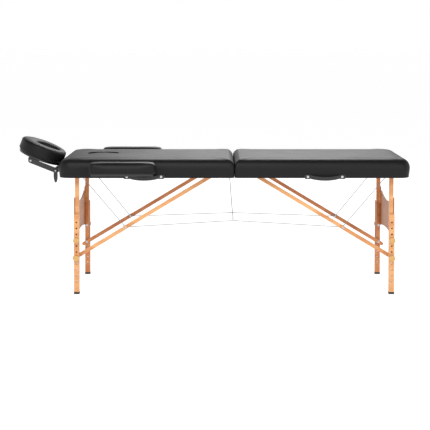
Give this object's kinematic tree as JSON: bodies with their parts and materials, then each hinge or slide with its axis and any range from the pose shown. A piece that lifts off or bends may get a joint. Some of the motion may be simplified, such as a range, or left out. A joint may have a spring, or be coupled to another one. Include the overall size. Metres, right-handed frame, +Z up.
{
  "type": "portable massage table",
  "caption": "Folding two-section padded massage table on wooden height-adjustable legs, with carrying straps, armrests and a tilting face cradle.",
  "frame": {"origin": "on the floor, under the centre seam of the padded top", "axes": "+X towards the foot end, +Y towards the side without the carrying straps, +Z up"},
  "size_m": [2.1005, 0.799, 0.8263],
  "materials": {
    "cushion_vinyl": "satin vinyl with a fine leather grain",
    "cover_vinyl": "satin vinyl with a fine leather grain",
    "rail_wood": "clear satin lacquer on beech",
    "deck_plywood": "sanded birch plywood",
    "panel_plywood": "clear satin lacquer on plywood",
    "knob_wood": "varnished beech",
    "black_wood": "black lacquered plywood",
    "strap": "satin black flexible plastic",
    "lever_plastic": "satin black moulded plastic",
    "foot_rubber": "matt black rubber",
    "cable_steel": "stranded steel under a clear sheath",
    "brace_wood": "clear satin lacquer on beech",
    "leg_wood": "clear satin lacquer on beech",
    "chrome_fasteners": "bright nickel plate",
    "steel_fittings": "zinc plated steel"
  },
  "bodies": {
    "head_section": {"head_frame": "rail_wood", "head_deck": "deck_plywood", "head_pad": "cushion_vinyl", "head_cover_skirt": "cover_vinyl", "head_handle": "strap", "head_fasteners": "chrome_fasteners", "head_hinges": "steel_fittings", "cable_near": "cable_steel", "cable_far": "cable_steel", "cable_centre": "cable_steel", "cable_anchors": "steel_fittings"},
    "foot_section": {"foot_frame": "rail_wood", "foot_deck": "deck_plywood", "foot_pad": "cushion_vinyl", "foot_cover_skirt": "cover_vinyl", "foot_handle": "strap", "foot_fasteners": "chrome_fasteners", "foot_hinges": "steel_fittings"},
    "head_legs": {"head_upper_legs": "leg_wood", "head_leg_panel": "panel_plywood", "head_leg_bolts": "steel_fittings"},
    "head_lower_braces": {"head_lower_braces": "brace_wood", "head_knee_bolts": "steel_fittings"},
    "head_upper_braces": {"head_upper_braces": "brace_wood", "head_knee_nuts": "steel_fittings"},
    "head_lower_leg_near": {"head_lower_leg_near": "leg_wood", "head_foot_near": "foot_rubber"},
    "head_upper_knob_near": {"head_upper_knob_near": "knob_wood"},
    "head_lower_knob_near": {"head_lower_knob_near": "knob_wood"},
    "head_lower_leg_far": {"head_lower_leg_far": "leg_wood", "head_foot_far": "foot_rubber"},
    "head_upper_knob_far": {"head_upper_knob_far": "knob_wood"},
    "head_lower_knob_far": {"head_lower_knob_far": "knob_wood"},
    "foot_legs": {"foot_upper_legs": "leg_wood", "foot_leg_panel": "panel_plywood", "foot_leg_bolts": "steel_fittings"},
    "foot_lower_braces": {"foot_lower_braces": "brace_wood", "foot_knee_bolts": "steel_fittings"},
    "foot_upper_braces": {"foot_upper_braces": "brace_wood", "foot_knee_nuts": "steel_fittings"},
    "foot_lower_leg_near": {"foot_lower_leg_near": "leg_wood", "foot_foot_near": "foot_rubber"},
    "foot_upper_knob_near": {"foot_upper_knob_near": "knob_wood"},
    "foot_lower_knob_near": {"foot_lower_knob_near": "knob_wood"},
    "foot_lower_leg_far": {"foot_lower_leg_far": "leg_wood", "foot_foot_far": "foot_rubber"},
    "foot_upper_knob_far": {"foot_upper_knob_far": "knob_wood"},
    "foot_lower_knob_far": {"foot_lower_knob_far": "knob_wood"},
    "cradle_base": {"cradle_base": "black_wood", "cradle_rods": "steel_fittings"},
    "cradle_arms": {"cradle_arms": "black_wood", "cradle_pins": "steel_fittings"},
    "cradle_platform": {"cradle_platform": "black_wood", "cradle_cushion": "cushion_vinyl"},
    "cradle_lever": {"cradle_lever": "lever_plastic"},
    "armrest_near": {"armrest_near_cushion": "cushion_vinyl", "armrest_near_base": "black_wood"},
    "armrest_far": {"armrest_far_cushion": "cushion_vinyl", "armrest_far_base": "black_wood"},
    "face_plug": {"face_plug": "cushion_vinyl"}
  },
  "joints": [
    {"name": "centre_fold", "type": "hinge", "parent": "head_section", "child": "foot_section", "pos_m": [0, 0, 0.6292], "axis": [0, 1, 0], "range_deg": [0, 100], "deforming": ["cable_near", "cable_far", "cable_centre"]},
    {"name": "head_leg_fold", "type": "hinge", "parent": "head_section", "child": "head_legs", "pos_m": [-0.83437, 0, 0.662], "axis": [0, -1, 0], "range_deg": [0, 90.36]},
    {"name": "head_lower_brace_fold", "type": "hinge", "parent": "head_legs", "child": "head_lower_braces", "pos_m": [-0.84287, 0, 0.19808], "axis": [0, -1, 0], "range_deg": [0, 57.94]},
    {"name": "head_upper_brace_fold", "type": "hinge", "parent": "head_section", "child": "head_upper_braces", "pos_m": [-0.086, 0, 0.653], "axis": [0, 1, 0], "range_deg": [0, 31.7]},
    {"name": "head_lower_leg_near_slide", "type": "slide", "parent": "head_legs", "child": "head_lower_leg_near", "axis": [-0.0183, 0, -0.9998], "range_m": [-0.096, 0.096]},
    {"name": "head_upper_knob_near_turn", "type": "hinge", "parent": "head_legs", "child": "head_upper_knob_near", "pos_m": [-0.84111, -0.27, 0.29406], "axis": [0, -1, 0], "continuous": true},
    {"name": "head_lower_knob_near_turn", "type": "hinge", "parent": "head_legs", "child": "head_lower_knob_near", "pos_m": [-0.84287, -0.27, 0.19808], "axis": [0, -1, 0], "continuous": true},
    {"name": "head_lower_leg_far_slide", "type": "slide", "parent": "head_legs", "child": "head_lower_leg_far", "axis": [-0.0183, 0, -0.9998], "range_m": [-0.096, 0.096]},
    {"name": "head_upper_knob_far_turn", "type": "hinge", "parent": "head_legs", "child": "head_upper_knob_far", "pos_m": [-0.84111, 0.27, 0.29406], "axis": [0, 1, 0], "continuous": true},
    {"name": "head_lower_knob_far_turn", "type": "hinge", "parent": "head_legs", "child": "head_lower_knob_far", "pos_m": [-0.84287, 0.27, 0.19808], "axis": [0, 1, 0], "continuous": true},
    {"name": "foot_leg_fold", "type": "hinge", "parent": "foot_section", "child": "foot_legs", "pos_m": [0.83437, 0, 0.662], "axis": [0, 1, 0], "range_deg": [0, 90.36]},
    {"name": "foot_lower_brace_fold", "type": "hinge", "parent": "foot_legs", "child": "foot_lower_braces", "pos_m": [0.84287, 0, 0.19808], "axis": [0, 1, 0], "range_deg": [0, 57.94]},
    {"name": "foot_upper_brace_fold", "type": "hinge", "parent": "foot_section", "child": "foot_upper_braces", "pos_m": [0.086, 0, 0.653], "axis": [0, -1, 0], "range_deg": [0, 31.7]},
    {"name": "foot_lower_leg_near_slide", "type": "slide", "parent": "foot_legs", "child": "foot_lower_leg_near", "axis": [0.0183, 0, -0.9998], "range_m": [-0.096, 0.096]},
    {"name": "foot_upper_knob_near_turn", "type": "hinge", "parent": "foot_legs", "child": "foot_upper_knob_near", "pos_m": [0.84111, -0.27, 0.29406], "axis": [0, -1, 0], "continuous": true},
    {"name": "foot_lower_knob_near_turn", "type": "hinge", "parent": "foot_legs", "child": "foot_lower_knob_near", "pos_m": [0.84287, -0.27, 0.19808], "axis": [0, -1, 0], "continuous": true},
    {"name": "foot_lower_leg_far_slide", "type": "slide", "parent": "foot_legs", "child": "foot_lower_leg_far", "axis": [0.0183, 0, -0.9998], "range_m": [-0.096, 0.096]},
    {"name": "foot_upper_knob_far_turn", "type": "hinge", "parent": "foot_legs", "child": "foot_upper_knob_far", "pos_m": [0.84111, 0.27, 0.29406], "axis": [0, 1, 0], "continuous": true},
    {"name": "foot_lower_knob_far_turn", "type": "hinge", "parent": "foot_legs", "child": "foot_lower_knob_far", "pos_m": [0.84287, 0.27, 0.19808], "axis": [0, 1, 0], "continuous": true},
    {"name": "cradle_slide", "type": "slide", "parent": "head_section", "child": "cradle_base", "axis": [-1, 0, 0], "range_m": [0, 0.06]},
    {"name": "cradle_arm_tilt", "type": "hinge", "parent": "cradle_base", "child": "cradle_arms", "pos_m": [-0.962, 0, 0.653], "axis": [0, 1, 0], "range_deg": [-25, 0]},
    {"name": "cradle_platform_tilt", "type": "hinge", "parent": "cradle_arms", "child": "cradle_platform", "pos_m": [-1.096, 0, 0.707], "axis": [0, 1, 0], "range_deg": [-35, 0]},
    {"name": "cradle_lever_turn", "type": "hinge", "parent": "cradle_base", "child": "cradle_lever", "pos_m": [-0.962, -0.14, 0.653], "axis": [0, 1, 0], "range_deg": [0, 90]},
    {"name": "armrest_near_slide", "type": "slide", "parent": "head_section", "child": "armrest_near", "axis": [0, -1, 0], "range_m": [0, 0.05]},
    {"name": "armrest_far_slide", "type": "slide", "parent": "head_section", "child": "armrest_far", "axis": [0, 1, 0], "range_m": [0, 0.05]},
    {"name": "face_plug_lift", "type": "slide", "parent": "head_section", "child": "face_plug", "axis": [0, 0, 1], "range_m": [0, 0.06]}
  ],
  "couplings": [
    {"joint": "head_lower_brace_fold", "follows": "head_leg_fold", "ratio": 0.64123},
    {"joint": "head_upper_brace_fold", "follows": "head_leg_fold", "ratio": 0.35078},
    {"joint": "foot_lower_brace_fold", "follows": "foot_leg_fold", "ratio": 0.64123},
    {"joint": "foot_upper_brace_fold", "follows": "foot_leg_fold", "ratio": 0.35078}
  ]
}
